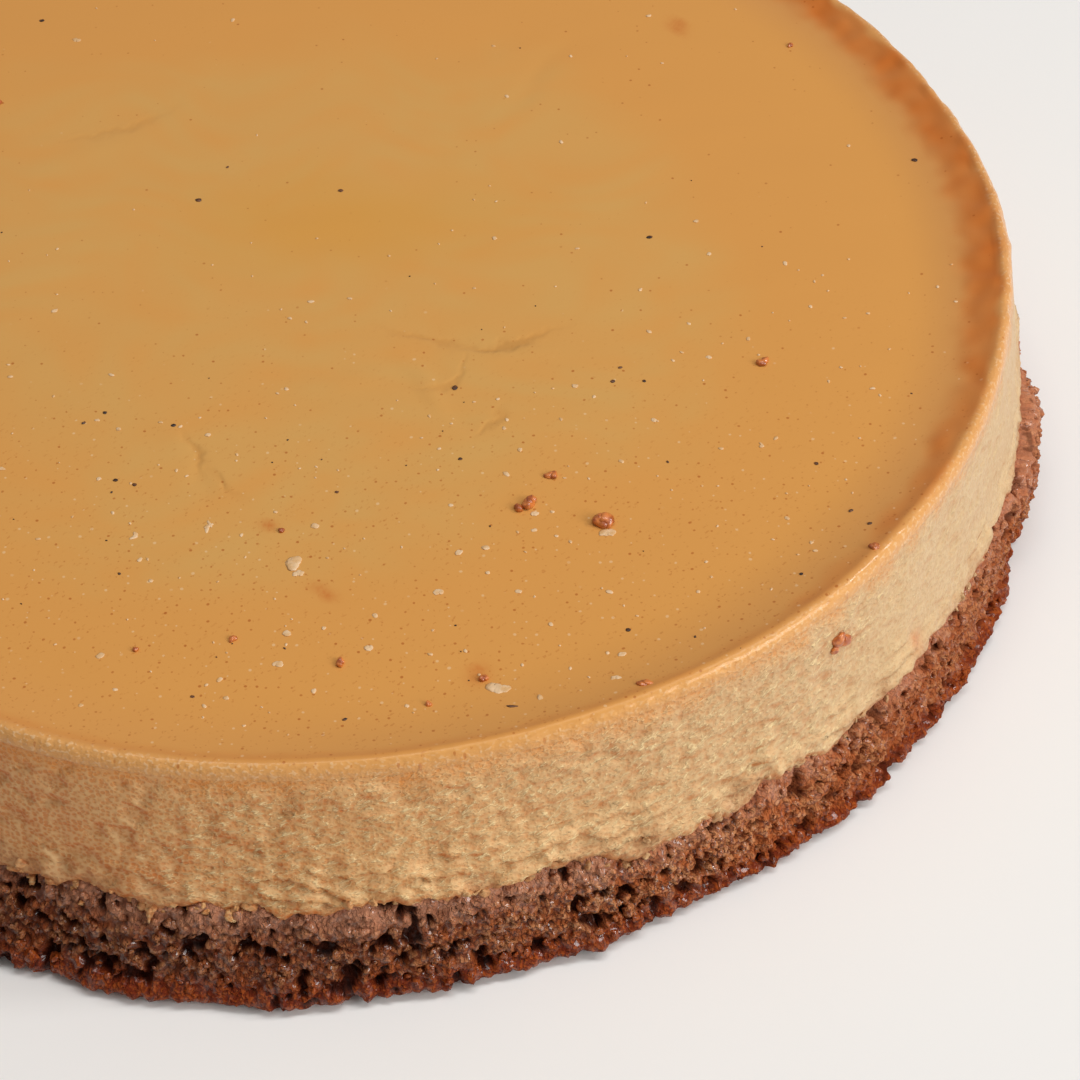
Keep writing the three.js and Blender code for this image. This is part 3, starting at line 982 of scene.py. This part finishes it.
bits = {
    "crumbSpots": (
        (44, -62, 4.2, 2.6, 5), (33, -58, 2.6, 2.2, 40), (31, -59, 1.6, 1.4, 0), (36, -52, 2.5, 1.3, 35),
        (70, -27, 2.2, 1.4, 20), (84, -70, 2.0, 1.2, 0), (49, -96, 2.6, 1.0, 8), (5, -90, 1.5, 1.3, 80),
        (-11, -85, 1.6, 1.0, 50), (-25, -87, 1.1, 0.8, 10), (18, -98, 1.1, 0.9, 0), (-52, -49, 1.2, 0.8, 30),
        (-5, -63, 1.3, 0.8, 0), (26, -93, 1.6, 1.2, 20), (80, 56, 1.4, 0.9, 60), (-60, 42, 1.3, 1.0, 15),
        (-38, 78, 1.5, 1.0, 120), (-84, -22, 1.2, 0.9, 70),
    ),
    # one clump on the wall: turn round the cake in degrees, height, half sizes
    "wallCrumb": (
        (-46.2, 34.8, (0.8, 1.2, 1.3)), (-45.4, 33.6, (0.7, 0.9, 1.0)), (-46.6, 33.5, (0.6, 0.8, 0.8)),
    ),
    "flakeSpots": (
        # the flakes at 44.4, -64.3 and 33.4, -59.8, at the foot of the two largest crumbs, are pale lumps
        # put where the wet skin shines: painted highlights
        (-3, -70, 3.0, 2.4, 60), (-2, -72, 1.6, 1.2, 10), (44.4, -64.3, 2.6, 1.4, 5),
        (33.4, -59.8, 1.5, 1.0, 20), (28, -95, 3.2, 2.0, 20), (0, -62, 1.9, 1.1, -30),
        (46, -89, 1.4, 0.8, 10), (45, -94, 1.8, 0.8, 0), (19, -76, 1.5, 1.1, 30), (26, -67, 1.2, 1.0, 0),
        (22, -68, 1.3, 1.0, 40), (40, -32, 1.2, 0.9, 0), (9, -87, 1.6, 1.1, 30), (-4, -90, 1.9, 1.1, 15),
        (-3, -84, 1.3, 1.2, 0), (-30, -88, 1.3, 0.9, 20), (31, -76, 1.1, 0.8, 0), (-16, -62, 2.6, 0.7, 75),
        (-27, -64, 2.4, 0.6, 60), (61, 8, 1.0, 0.7, 0), (-48, 60, 1.6, 1.0, 30), (-70, -34, 1.4, 1.0, 100),
    ),
    "speckSpots": (
        (21, -32, 1.3, 1.1, 60), (22, -48, 0.9, 0.8, 0), (-34, -37, 0.9, 0.8, 20), (-23, -40, 1.1, 0.8, 0),
        (-31, -52, 1.0, 0.8, 0), (-28, -53, 0.9, 0.8, 0), (47, -84, 1.0, 0.9, 0), (84, -64, 1.2, 0.8, 10),
        (73, -74, 0.8, 0.7, 0), (77, -50, 0.9, 0.9, 0), (63, -90, 0.9, 0.7, 30), (-16, -96, 0.8, 0.7, 0),
        (46, -31, 1.0, 0.9, 0), (53, 4, 1.3, 1.0, 10), (-23, 15, 1.4, 1.1, 0), (1, 17, 1.2, 0.9, 0),
        (99, 23, 1.3, 1.1, 0), (51, -31, 0.8, 0.7, 0), (30, -99, 2.2, 0.6, -5), (-55, 66, 1.2, 0.9, 0),
        (38, 84, 1.1, 0.9, 0), (-82, 30, 1.0, 0.9, 0),
    ),
    "clumpedOver": 1.45,  # flakes longer than this are built of three lumps
    "speckShrink": 0.75,
    "strewRadius": 104,
    # pale dots strewn on the near half: partly pale bits, partly painted glints
    "tinyFlakesAndGlints": 260,
    "tinySpecks": 46,
    "crumb": "d47830",
    "crumbDeep": "a24c14",
    "flake": "e5c094",
    "flakeWarm": "d9aa72",
    "speck": "2c190e",
    "speckWarm": "6a4022",
}


def topAt(x, y):
    # a point on the custard's top
    radius, angle = np.hypot(x, y), np.arctan2(y, x)
    spot = np.array([[x, y, float(dish(radius, angle))]])
    return spot[0] + [0, 0, float(skinLift(spot, radius)[0])]


def topLumps(spots, tall, sunk, chance):
    # lumps that lie on the top: tall is height as a share of width, sunk the share that is in the skin
    lumps = []
    for x, y, long, wide, turn in spots:
        half = np.array([long, wide, max(0.2, wide * tall)]) / 2
        middle = topAt(x, y) + [0, 0, float(half[2]) * (1 - 2 * sunk)]
        lumps.append((middle, half, Quaternion((0, 0, 1), math.radians(turn)), chance.uniform(1, 90)))
    return lumps


def strew(count, small, large, chance):
    # tiny spots, most of them on the near half
    spots = []
    while len(spots) < count:
        radius = bits["strewRadius"] * math.sqrt(chance.random())
        angle = chance.uniform(-math.pi, math.pi)
        nearness = float(smoothStep(30, -70, radius * math.sin(angle)))
        if chance.random() < 0.08 + 0.92 * nearness:
            size = blend(small, large, chance.random() ** 2)
            long = size * chance.uniform(1, 1.7)
            x, y = radius * math.cos(angle), radius * math.sin(angle)
            spots.append((x, y, long, size, chance.uniform(0, 180)))
    return spots


def clumps(spots, tall, sunk, chance):
    # each spot becomes three lumps in a row
    lumps = []
    for x, y, long, wide, turn in spots:
        step = Vector((math.cos(math.radians(turn)), math.sin(math.radians(turn))))
        for share in (-0.13, 0.0, 0.15):
            size = wide * chance.uniform(0.65, 1.0)
            middleX = x + step.x * long * share + chance.uniform(-0.2, 0.2) * wide
            middleY = y + step.y * long * share + chance.uniform(-0.2, 0.2) * wide
            around = turn + chance.uniform(-50, 50)
            lumps += topLumps([(middleX, middleY, long * 0.62, size, around)], tall, sunk, chance)
    return lumps


def makeCrumbs():
    chance = random.Random(5)
    lumps = clumps(bits["crumbSpots"], 0.75, 0.2, chance)
    for turn, z, half in bits["wallCrumb"]:
        angle = math.radians(turn)
        share = (z - cake["joint"]) / (cake["height"] - cake["joint"])
        reach = blend(cake["footRadius"], cake["rimRadius"], share)
        middle = np.array([reach * math.cos(angle), reach * math.sin(angle), z])
        lumps.append((middle, np.array(half), Quaternion((0, 0, 1), angle), turn))
    return lumpMesh("brownCrumbs", lumps, 3, 0.38)[0]


def makeFlakes():
    chance = random.Random(6)
    limit = bits["clumpedOver"]
    large = [spot for spot in bits["flakeSpots"] if spot[2] > limit]
    small = [spot for spot in bits["flakeSpots"] if spot[2] <= limit]
    lumps = clumps(large, 0.2, 0.42, chance) + topLumps(small, 0.2, 0.4, chance)
    lumps += topLumps(strew(bits["tinyFlakesAndGlints"], 0.3, 0.75, chance), 0.3, 0.4, chance)
    return lumpMesh("paleFlakes", lumps, 3, 0.4)[0]


def makeSpecks():
    chance = random.Random(7)
    small = bits["speckShrink"]
    spots = [(x, y, long * small, wide * small, turn) for x, y, long, wide, turn in bits["speckSpots"]]
    lumps = topLumps(spots, 0.35, 0.3, chance)
    lumps += topLumps(strew(bits["tinySpecks"], 0.2, 0.5, chance), 0.5, 0.3, chance)
    return lumpMesh("darkSpecks", lumps, 3, 0.35)[0]


def bitFinish(name, first, second, blotch, **constants):
    f = Finish(name, **constants)
    patchy = f.step(f.noise(blotch, 3), 0.4, 0.62)
    f.feed("Base Color", f.mix(colour(bits[first]), colour(bits[second]), patchy))
    f.feed("Roughness", 0.3 + 0.3 * f.noise(0.5, 2))
    f.bump(f.noise(0.45, 3), 0.6, 0.1)
    return f.material


print("making the crumbs, flakes and specks")
crumbLook = bitFinish("brownCrumb", "crumb", "crumbDeep", 1.2, Coat_Weight=0.7, Coat_Roughness=0.1)
flakeLook = bitFinish("paleFlake", "flake", "flakeWarm", 1.6, Coat_Weight=0.2, Coat_Roughness=0.2)
speckLook = bitFinish("darkSpeck", "speck", "speckWarm", 0.8)
place("brownCrumbs", makeCrumbs(), "brown_crumb", crumbLook)
place("paleFlakes", makeFlakes(), "pale_flake", flakeLook)
place("darkSpecks", makeSpecks(), "dark_speck", speckLook)


# Floor, light and camera.

studio = {
    "floorColour": "f3f1ee",
    "floorShade": "edeae6",
    "floorSize": 6.0,
    "floorDrop": 0.0002,  # keeps the floor clear of the cake's underside
    "world": 0.25,
    "worldColour": (1.0, 0.985, 0.965, 1),
    # each soft light: name, place, size, power
    "lights": (
        ("keyLight", (1.4, -0.75, 0.8), (0.8, 0.7), 15.0),
        ("glintLight", (1.2, 0.1, 1.0), (0.14, 0.14), 3.5),
        ("topLight", (0.35, 0.0, 1.6), (0.42, 1.7), 11.5),
    ),
}


def makeFloor():
    half = studio["floorSize"] / 2
    corners = [(-half, -half, 0), (half, -half, 0), (half, half, 0), (-half, half, 0)]
    mesh = skin("floor", corners, [(0, 1, 2, 3)])
    floor = add("floor", mesh)
    floor.location.z = -studio["floorDrop"]
    f = Finish("floor", Roughness=0.75)
    shade = f.noise(60, 3) * 0.3
    f.feed("Base Color", f.mix(colour(studio["floorColour"]), colour(studio["floorShade"]), shade))
    mesh.materials.append(f.material)


def aimed(name, data, place, facing, roll=0.0):
    # a light or camera that looks along a direction
    made = add(name, data)
    made.location = place
    made.rotation_mode = "QUATERNION"
    made.rotation_quaternion = facing.to_track_quat("-Z", "Y") @ Quaternion((0, 0, 1), roll)
    return made


def softbox(name, place, size, power):
    data = bpy.data.lights.new(name, "AREA")
    data.shape = "RECTANGLE"
    data.size, data.size_y = size
    data.energy = power
    aimed(name, data, place, cake["axis"] - Vector(place))


def makeLight():
    world = bpy.data.worlds.new("studio")
    world.use_nodes = True
    background = world.node_tree.nodes["Background"]
    background.inputs["Color"].default_value = studio["worldColour"]
    background.inputs["Strength"].default_value = studio["world"]
    bpy.context.scene.world = world
    for lamp in studio["lights"]:
        softbox(*lamp)


view = {
    "elevation": 46.23,
    "roll": -0.608,
    "distance": 4.536,  # in rim radii, as the aim is
    "aim": (0.3055, -0.2413),
    "lens": 100.0,
    "sensor": 36,
}


def makeCamera():
    rim = cake["rimRadius"] * mm
    tilt, roll = math.radians(view["elevation"]), math.radians(view["roll"])
    aim = Vector((cake["axis"].x + view["aim"][0] * rim, cake["axis"].y + view["aim"][1] * rim, 0))
    back = Vector((0, -math.cos(tilt), math.sin(tilt)))
    data = bpy.data.cameras.new("camera")
    data.lens = view["lens"]
    data.sensor_width = view["sensor"]
    bpy.context.scene.camera = aimed("camera", data, aim + back * (view["distance"] * rim), -back, roll)


print("setting the floor, light and camera")
makeFloor()
makeLight()
makeCamera()
bpy.context.scene.view_settings.view_transform = "Standard"
